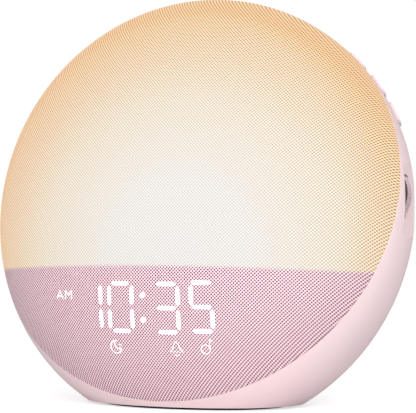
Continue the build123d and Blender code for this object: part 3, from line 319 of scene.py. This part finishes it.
# thread and hole levels, with deeper holes towards the rim
depth = calc(tree, "MULTIPLY_ADD", ease(tree, glow_out, deeper_from, 1.0),
             rim_hole_depth, hole_depth)
swing = calc(tree, "MULTIPLY", calc(tree, "SUBTRACT", thread, 0.5),
             calc(tree, "MULTIPLY", depth, 2.0))
lit_thread = dim_colour(tree, glow_colour, calc(tree, "ADD", 1.0, swing))
blotch = add_node(tree, "TexNoise", {"Vector": place, "Scale": 700.0, "Detail": 2.0})
thread_tint = blend_colour(tree, blotch.outputs[0], *thread_pinks)
plain_cloth = blend_colour(tree, thread, hole_colour, thread_tint)
base = blend_colour(tree, lit, plain_cloth, dim_colour(tree, lit_thread, lit_paleness))
tree.links.new(base, shader.inputs["Base Color"])
glow = blend_colour(tree, lit, (0, 0, 0, 1), dim_colour(tree, lit_thread, glow_strength))
tree.links.new(glow, shader.inputs["Emission Color"])
shader.inputs["Emission Strength"].default_value = 1.0
bump = add_node(tree, "Bump", {"Height": thread, "Strength": 0.25, "Distance": 0.0002})
tree.links.new(bump.outputs[0], shader.inputs["Normal"])

dome = bmesh.new()
last = None
for count in range(profile_steps + 1):
    turn = profile_end * count / profile_steps
    outwards = math.sin(turn) ** (2 / roundness)
    frontwards = math.copysign(abs(math.cos(turn)) ** (2 / roundness), math.cos(turn))
    vertex = dome.verts.new((body_radius * outwards, 0, half_depth * frontwards))
    if last:
        dome.edges.new((last, vertex))
    last = vertex
bmesh.ops.spin(dome, geom=dome.verts[:] + dome.edges[:], cent=(0, 0, 0), axis=(0, 0, 1),
               angle=2 * math.pi, steps=round_steps, use_merge=True)
bmesh.ops.remove_doubles(dome, verts=dome.verts[:], dist=1e-6)
dome.transform(Matrix((
    (1, 0, 0, 0),
    (0, axis_up.y, axis_front.y, 0),
    (0, axis_up.z, axis_front.z, centre.z),
    (0, 0, 0, 1),
)))
bmesh.ops.bisect_plane(dome, geom=dome.verts[:] + dome.edges[:] + dome.faces[:],
                       plane_co=seam_point + seam_normal * seam_gap, plane_no=seam_normal,
                       clear_inner=True)
bmesh.ops.recalc_face_normals(dome, faces=dome.faces[:])
knit_cover = finish_piece("knit_cover", dome, knit, "case")
wall = knit_cover.modifiers.new("wall", "SOLIDIFY")
wall.thickness = cloth_thickness
wall.offset = -1
turned_edge = knit_cover.modifiers.new("turned_edge", "BEVEL")
turned_edge.width = hem_round
turned_edge.segments = 2
turned_edge.limit_method = "ANGLE"
turned_edge.angle_limit = math.radians(60)
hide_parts("fabric_cover")


# ---- Lit digits and signs
# What shines through the knit from the light guides: the time in seven-segment bars, the
# colon, and small signs for the half of the day, sleep, alarm and music. They are thin lit
# shapes that lie on the cloth.
sign_lift = 0.00007
digit_height = 0.0190
bar_width = 0.00158
bar_tip = 0.12
upright_length = 0.0077
level_length = 0.0081
# each digit's middle, the width between its uprights, and its middle's height above the table
digit_places = {"1": (-0.0247, 0.0096, 0.0416), "0": (-0.0105, 0.0104, 0.0416),
                "3": (0.0100, 0.0096, 0.0415), "5": (0.0246, 0.0084, 0.0421)}
# each digit's lit bars: (sideways, height) of the bar's middle in halves of the digit
lit_bars = {
    "1": ((1, 0.5), (1, -0.5)),
    "0": ((0, 1), (-1, 0.5), (1, 0.5), (-1, -0.5), (1, -0.5), (0, -1)),
    "3": ((0, 1), (1, 0.5), (0, 0), (1, -0.5), (0, -1)),
    "5": ((0, 1), (-1, 0.5), (0, 0), (1, -0.5), (0, -1)),
}
colon_across = -0.00035
colon_heights = (0.0465, 0.0367)
colon_radius = 0.00115
line_width = 0.00025
fine_line_width = 0.00020
line_relief = 0.12
letters_left = -0.0426
letters_width = 0.0083
letters_foot = 0.0442
letters_height = 0.0036

lit_sign, tree, shader, place = start_material("lit_sign", (0.9, 0.9, 0.92), 0.6)
shine = add_node(tree, "TexNoise", {"Vector": place, "Scale": 1500.0, "Detail": 1.0})
sign_white = blend_colour(tree, shine.outputs[0], (0.97, 0.97, 1.0, 1), white)
tree.links.new(sign_white, shader.inputs["Emission Color"])
shader.inputs["Emission Strength"].default_value = 1.0


def cloth_front(across, high):
    """Y of the cloth's outer face at a spot seen from the front, found by halving."""
    near, far = -0.06, -0.02
    for halving in range(40):
        middle = (near + far) / 2
        arm = Vector((across, middle, high)) - centre
        reach = math.hypot(arm.x, arm.dot(axis_up)) / body_radius
        inside = reach ** roundness + (abs(arm.dot(axis_front)) / half_depth) ** roundness < 1
        near, far = (near, middle) if inside else (middle, far)
    return near


def lay_on_cloth(mesh, relief=0.0):
    """Moves a mesh drawn in X and Z onto the cloth's face, with a share of its depth."""
    for vertex in mesh.verts:
        height = vertex.co.y * relief
        vertex.co.y = cloth_front(vertex.co.x, vertex.co.z) - sign_lift - height


digits = bmesh.new()
for digit, (middle, digit_width, digit_middle) in digit_places.items():
    for side, rise in lit_bars[digit]:
        upright = side != 0
        length = upright_length if upright else level_length
        bar = bmesh.ops.create_grid(digits, x_segments=24, y_segments=2, size=0.5)["verts"]
        for vertex in bar:
            along = vertex.co.x * length
            end_gap = length / 2 - abs(along)
            taper = min(1.0, bar_tip + (1 - bar_tip) * end_gap / (bar_width / 2))
            over = vertex.co.y * bar_width * taper
            sideways, upwards = (over, along) if upright else (along, over)
            vertex.co = (middle + side * digit_width / 2 + sideways, 0,
                         digit_middle + rise * digit_height / 2 + upwards)
for height in colon_heights:
    stood_up = Matrix.Translation((colon_across, 0, height)) @ Matrix.Rotation(math.pi / 2, 4, "X")
    bmesh.ops.create_circle(digits, cap_ends=True, segments=24, radius=colon_radius,
                            matrix=stood_up)
lay_on_cloth(digits)
bmesh.ops.recalc_face_normals(digits, faces=digits.faces[:])
for face in digits.faces:
    if face.normal.y > 0:
        face.normal_flip()
finish_piece("time_digits", digits, lit_sign, "case")


def add_drawn(target, curve):
    """Adds the mesh of a curve or of a text to a bmesh."""
    drawn = bpy.data.objects.new("drawn", curve)
    flat = bpy.data.meshes.new_from_object(drawn)
    target.from_mesh(flat)
    bpy.data.objects.remove(drawn)
    bpy.data.meshes.remove(flat)


def drawn_line(target, points, width, closed):
    """Adds a fine lit line through points given in X and Z to a bmesh."""
    curve = bpy.data.curves.new("line", "CURVE")
    curve.dimensions = "3D"
    curve.bevel_depth = width / 2
    curve.bevel_resolution = 1
    spline = curve.splines.new("POLY")
    spline.points.add(len(points) - 1)
    for point, (x, z) in zip(spline.points, points):
        point.co = (x, 0, z, 1)
    spline.use_cyclic_u = closed
    curve.use_fill_caps = True
    add_drawn(target, curve)


def arc(x, z, radius, start, end, count=14):
    """Points along a round stretch, its ends given in degrees."""
    points = []
    for number in range(count + 1):
        angle = math.radians(start + (end - start) * number / count)
        points.append((x + radius * math.cos(angle), z + radius * math.sin(angle)))
    return points


moon = arc(-0.0139, 0.0256, 0.0026, 75, 345) + arc(-0.0124, 0.0268, 0.0021, 300, 130)[1:-1]
dozing_strokes = [(-0.0126, 0.0266), (-0.0112, 0.0266), (-0.0126, 0.0250), (-0.0112, 0.0250)]
bell = [(0.0103, 0.0242), (0.0115, 0.0256), (0.0120, 0.0272), (0.0130, 0.0284),
        (0.0140, 0.0272), (0.0145, 0.0256), (0.0157, 0.0242)]
clapper = arc(0.0130, 0.0236, 0.0010, 200, 340, 6)
note_head = arc(0.0250, 0.0254, 0.0018, 0, 340)
note_stem = [(0.0268, 0.0256), (0.0268, 0.0294), (0.0280, 0.0286)]
# each line's points, its width, and whether it closes
sign_lines = (
    (moon, line_width, True),
    (dozing_strokes, fine_line_width, False),
    (bell, line_width, True),
    (clapper, line_width, False),
    (note_head, line_width, True),
    (note_stem, line_width, False),
)
signs = bmesh.new()
for points, width, closed in sign_lines:
    drawn_line(signs, points, width, closed)
lay_on_cloth(signs, line_relief)

text = bpy.data.curves.new("half_day", "FONT")
text.body = "AM"
text.size = 0.0052
text.space_character = 1.06
text.offset = -0.00012
letters = bmesh.new()
add_drawn(letters, text)
text_left = min(vertex.co.x for vertex in letters.verts)
text_right = max(vertex.co.x for vertex in letters.verts)
text_top = max(vertex.co.y for vertex in letters.verts)
for vertex in letters.verts:
    sideways = (vertex.co.x - text_left) / (text_right - text_left) * letters_width
    vertex.co = (letters_left + sideways, 0,
                 letters_foot + vertex.co.y / text_top * letters_height)
lay_on_cloth(letters)
finish_piece("half_day_letters", letters, lit_sign, "case", smooth=False)
finish_piece("lit_signs", signs, lit_sign, "case")


# ---- Rear housing, buttons and foot
# One moulding in pale pink plastic with a fine spark-eroded texture, smoother button caps of the same
# plastic in its windows, a little darker for painted shade, and a dark rubber pad under the base.
housing_pink = (0.872, 0.690, 0.710)
# painted shade: the housing's pink a little darker on the button caps
shaded_button_pink = (0.82, 0.650, 0.672)


def moulded(name, colour, roughness, grain=0.4, bump_height=0.00003, tone=0.04, coat=0.0):
    """Moulded plastic: slight clouds in its colour and sheen, and a fine pebbled surface."""
    material, tree, shader, place = start_material(name, colour, roughness)
    clouds = add_node(tree, "TexNoise", {"Vector": place, "Scale": 38.0, "Detail": 3.0})
    darker = tuple(channel * (1 - tone) for channel in colour)
    lighter = tuple(min(1.0, channel * (1 + tone)) for channel in colour)
    tint = blend_colour(tree, clouds.outputs[0], (*darker, 1), (*lighter, 1))
    tree.links.new(tint, shader.inputs["Base Color"])
    pebbles = add_node(tree, "TexNoise", {"Vector": place, "Scale": 1000 / grain, "Detail": 2.0,
                                         "Roughness": 0.6})
    gloss = calc(tree, "MULTIPLY_ADD", pebbles.outputs[0], 0.12, roughness - 0.06)
    tree.links.new(gloss, shader.inputs["Roughness"])
    relief = add_node(tree, "Bump", {"Height": pebbles.outputs[0], "Strength": 0.5,
                                    "Distance": bump_height})
    tree.links.new(relief.outputs[0], shader.inputs["Normal"])
    shader.inputs["Coat Weight"].default_value = coat
    return material


def paint(material, *names):
    """Gives CAD nodes their material."""
    for name in names:
        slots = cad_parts[name].data.materials
        slots.clear()
        slots.append(material)


paint(moulded("housing_plastic", housing_pink, 0.48), "rear_housing")
paint(moulded("button_plastic", shaded_button_pink, 0.62, grain=1.2, bump_height=0.000004),
      "button_lower", "button_middle", "button_upper")
paint(moulded("foot_rubber", (0.012, 0.010, 0.010), 0.8, grain=0.5), "rubber_foot")


# ---- Thumb wheel
# A wheel with a finely ribbed pink rim, on a brass axle. Shade is painted on it: darker pink in the
# grooves between the ribs, and dark plum over its faces inside the rim for the shade of the housing's
# slot.
wheel_across = 0.0783
wheel_up = 0.0072
wheel_forward = -0.0024
wheel_middle = centre + Vector((wheel_across, 0, 0)) + axis_up * wheel_up + axis_front * wheel_forward
rib_root = 0.01250
rib_crest = 0.01290
# radii, and places along the axle, where the painted slot shade begins and where it is full
slot_shade_radius = 0.0118
slot_shade_edge = 0.0121
rim_front = 0.00255
slot_shade_front = 0.00275
# painted shade: the rib roots darker than the crests, for the shade in the grooves between the ribs
groove_shade_pink = (0.42, 0.30, 0.34, 1)
crest_pink = (0.78, 0.62, 0.66, 1)
# painted shade: dark plum on the wheel's faces inside the rim, for the slot's shade
slot_shade_plum = (0.050, 0.022, 0.032, 1)
speckle_pink = (0.4, 0.3, 0.32, 1)

wheel_plastic, tree, shader, place = start_material("wheel_plastic", (0.72, 0.56, 0.60), 0.5)
arm = add_node(tree, "VectorMath", {0: place, 1: tuple(wheel_middle)},
               operation="SUBTRACT").outputs[0]
along_axis = add_node(tree, "VectorMath", {0: arm, 1: tuple(axis_front)},
                      operation="DOT_PRODUCT").outputs["Value"]
arm_length = add_node(tree, "VectorMath", {0: arm}, operation="LENGTH").outputs["Value"]
squared_far = calc(tree, "SUBTRACT", calc(tree, "MULTIPLY", arm_length, arm_length),
                   calc(tree, "MULTIPLY", along_axis, along_axis))
from_axle = calc(tree, "SQRT", calc(tree, "MAXIMUM", squared_far, 0.0))
# painted groove shade, darker towards the rib roots
ribs_with_groove_shade = blend_colour(tree, ease(tree, from_axle, rib_root, rib_crest), groove_shade_pink, crest_pink)
# painted slot shade over the faces inside the rim and at the front
painted_slot_shade = calc(tree, "MAXIMUM", ease(tree, along_axis, rim_front, slot_shade_front),
            ease(tree, from_axle, slot_shade_edge, slot_shade_radius))
ribs_with_painted_shade = blend_colour(tree, painted_slot_shade, ribs_with_groove_shade, slot_shade_plum)
speckle = add_node(tree, "TexNoise", {"Vector": place, "Scale": 900.0, "Detail": 2.0})
rib_tint = blend_colour(tree, calc(tree, "MULTIPLY", speckle.outputs[0], 0.12), ribs_with_painted_shade,
                        speckle_pink)
tree.links.new(rib_tint, shader.inputs["Base Color"])
relief = add_node(tree, "Bump",
                  {"Height": speckle.outputs[0], "Strength": 0.3, "Distance": 0.00002})
tree.links.new(relief.outputs[0], shader.inputs["Normal"])
paint(wheel_plastic, "thumb_wheel")


# ---- Metal pieces
# Zinc-plated screws, a turned brass axle and inlet pin, a pressed steel bracket, the nickel
# cell, and drawn cans and covers on the boards, all with fine tool marks.
tool_marks = 2200 / 6
metal_wear = 0.15


def metal(name, colour, roughness, stretch=(1, 1, 12)):
    """Bare metal with fine lines drawn one way and slight clouding."""
    material, tree, shader, place = start_material(name, colour, roughness)
    shader.inputs["Metallic"].default_value = 1.0
    turned = add_node(tree, "Mapping", {"Vector": place, "Scale": stretch})
    lines = add_node(tree, "TexNoise",
                     {"Vector": turned.outputs[0], "Scale": tool_marks, "Detail": 4.0})
    clouds = add_node(tree, "TexNoise", {"Vector": place, "Scale": 160.0, "Detail": 3.0})
    duller = tuple(channel * (1 - metal_wear) for channel in colour)
    tint = blend_colour(tree, clouds.outputs[0], (*duller, 1), (*colour, 1))
    tree.links.new(tint, shader.inputs["Base Color"])
    gloss = calc(tree, "MULTIPLY_ADD", lines.outputs[0], 0.25, roughness - 0.12)
    tree.links.new(gloss, shader.inputs["Roughness"])
    relief = add_node(tree, "Bump",
                      {"Height": lines.outputs[0], "Strength": 0.25, "Distance": 0.00002})
    tree.links.new(relief.outputs[0], shader.inputs["Normal"])
    return material


paint(metal("screw_zinc", (0.62, 0.63, 0.65), 0.34),
      "frame_screws", "led_board_screws", "display_screws", "speaker_screws",
      "main_board_screws", "power_board_screws", "bracket_screws")
paint(metal("axle_brass", (0.75, 0.58, 0.28), 0.26), "wheel_axle", "inlet_pin")
paint(metal("bracket_steel", (0.56, 0.57, 0.58), 0.36, stretch=(1, 8, 1)), "wheel_bracket")
paint(metal("cell_nickel", (0.72, 0.71, 0.69), 0.2, stretch=(1, 1, 1)), "coin_cell")
paint(metal("tin_can", (0.60, 0.61, 0.60), 0.38, stretch=(10, 1, 1)), "radio_module")
paint(metal("switch_cover", (0.66, 0.66, 0.66), 0.33, stretch=(1, 6, 1)), "tact_switches")
paint(metal("capacitor_can", (0.66, 0.69, 0.74), 0.28, stretch=(1, 1, 1)), "storage_capacitors")


# ---- Domes, frame and lamp box
# Mouldings behind the cloth, carried by the grey mid frame: the opal diffuser, the plum fascia
# under the plain cloth, the white baffle and tray that keep the light together, and the guides.
opal = moulded("opal_plastic", (0.90, 0.87, 0.80), 0.3, grain=0.8, tone=0.02, coat=0.2)
shader = opal.node_tree.nodes["Principled BSDF"]
shader.inputs["Subsurface Weight"].default_value = 0.3
shader.inputs["Subsurface Radius"].default_value = (0.004, 0.003, 0.002)
paint(opal, "light_diffuser")
paint(moulded("fascia_plastic", (0.14, 0.055, 0.085), 0.5), "lower_fascia")
paint(moulded("frame_plastic", (0.085, 0.085, 0.092), 0.55, grain=0.6),
      "front_frame", "switch_carrier")
paint(moulded("tray_plastic", (0.86, 0.86, 0.84), 0.4, tone=0.02),
      "divider_baffle", "light_reflector")
paint(moulded("mask_plastic", (0.012, 0.012, 0.013), 0.6), "display_mask")
paint(moulded("guide_plastic", (0.90, 0.91, 0.93), 0.22, grain=0.9, tone=0.02, coat=0.3),
      "display_digits", "display_colon", "indicator_guides")

lamp_body, tree, shader, place = start_material("lamp_body", (0.9, 0.86, 0.6), 0.35)
dots = add_node(tree, "TexNoise", {"Vector": place, "Scale": 500.0, "Detail": 1.0})
resin = blend_colour(tree, dots.outputs[0], (0.85, 0.62, 0.12, 1), (0.95, 0.86, 0.45, 1))
tree.links.new(resin, shader.inputs["Base Color"])
paint(lamp_body, "led_packages")


# ---- Circuit boards and what stands on them
# Green and white glass-fibre boards with copper runs under the lacquer, black mouldings for
# the chips and holders, and cream nylon sockets, soldered in place.
pad_copper = (0.62, 0.52, 0.30, 1)


def board(name, mask_colour, run_colour):
    """Lacquered board: a maze of copper runs that shows through as a lighter tone."""
    material, tree, shader, place = start_material(name, mask_colour, 0.35)
    darker = tuple(channel * 0.82 for channel in mask_colour)
    runs = add_node(tree, "TexBrick", {
        "Vector": place, "Color1": (*mask_colour, 1), "Color2": (*darker, 1),
        "Mortar": (*run_colour, 1), "Mortar Size": 0.035,
        "Scale": 130.0, "Brick Width": 0.9, "Row Height": 0.32,
    })
    cells = add_node(tree, "TexVoronoi", {"Vector": place, "Scale": 420.0})
    pads = ease(tree, cells.outputs["Distance"], 0.10, 0.16, 1.0, 0.0)
    colour = blend_colour(tree, calc(tree, "MULTIPLY", pads, 0.7), runs.outputs["Color"],
                          pad_copper)
    tree.links.new(colour, shader.inputs["Base Color"])
    relief = add_node(tree, "Bump",
                      {"Height": runs.outputs["Fac"], "Strength": 0.4, "Distance": 0.00004})
    tree.links.new(relief.outputs[0], shader.inputs["Normal"])
    shader.inputs["Coat Weight"].default_value = 0.5
    shader.inputs["Coat Roughness"].default_value = 0.2
    return material


paint(board("green_board", (0.015, 0.11, 0.055), (0.04, 0.20, 0.10)),
      "main_board", "display_board", "power_board", "switch_strip")
paint(board("white_board", (0.78, 0.78, 0.76), (0.70, 0.70, 0.68)), "led_board")
paint(moulded("chip_moulding", (0.018, 0.018, 0.020), 0.5, grain=0.25, tone=0.1),
      "processor_chip", "cell_holder", "power_inlet", "wheel_encoder",
      "plunger_lower", "plunger_middle", "plunger_upper")
paint(moulded("socket_nylon", (0.72, 0.66, 0.52), 0.45), "board_sockets", "power_socket")


# ---- Loudspeaker
# Black lacquered basket and magnet, a pressed paper cone on a soft rolled surround, and a
# foam gasket towards the grille.
paint(moulded("basket_lacquer", (0.030, 0.030, 0.033), 0.35, grain=0.7, coat=0.3),
      "speaker_frame", "speaker_magnet")
paint(moulded("surround_rubber", (0.016, 0.016, 0.016), 0.7, grain=0.6), "speaker_surround")
paint(moulded("gasket_foam", (0.030, 0.030, 0.030), 0.95, grain=0.9, bump_height=0.0001),
      "speaker_gasket")

paper, tree, shader, place = start_material("cone_paper", (0.05, 0.045, 0.04), 0.9)
drawn_out = add_node(tree, "Mapping", {"Vector": place, "Scale": (1, 1, 5)})
fibres = add_node(tree, "TexNoise",
                  {"Vector": drawn_out.outputs[0], "Scale": 700.0, "Detail": 6.0})
pulp = blend_colour(tree, fibres.outputs[0], (0.025, 0.022, 0.020, 1), (0.09, 0.08, 0.07, 1))
tree.links.new(pulp, shader.inputs["Base Color"])
relief = add_node(tree, "Bump",
                  {"Height": fibres.outputs[0], "Strength": 0.6, "Distance": 0.00006})
tree.links.new(relief.outputs[0], shader.inputs["Normal"])
paint(paper, "speaker_cone")


# ---- Flat cables and leads
# Flat film cables with parallel conductors between the boards, and pairs of thin wires in red
# sleeves from the loudspeaker and the power board to the main board's sockets.
conductor_pitch = 0.001
film_grey = (0.78, 0.80, 0.84, 1)
conductor_grey = (0.42, 0.44, 0.48, 1)

film, tree, shader, place = start_material("flat_film", (0.8, 0.82, 0.84), 0.3)
over_film = add_node(tree, "SeparateXYZ", {0: place}).outputs[0]
lines = calc(tree, "SINE", calc(tree, "MULTIPLY", over_film, 2 * math.pi / conductor_pitch))
stripes = blend_colour(tree, ease(tree, lines, -0.2, 0.2), film_grey, conductor_grey)
tree.links.new(stripes, shader.inputs["Base Color"])
paint(film, "display_ribbon", "lamp_ribbon")
paint(moulded("lead_sleeve", (0.42, 0.02, 0.015), 0.4, grain=0.5), "speaker_leads", "power_leads")
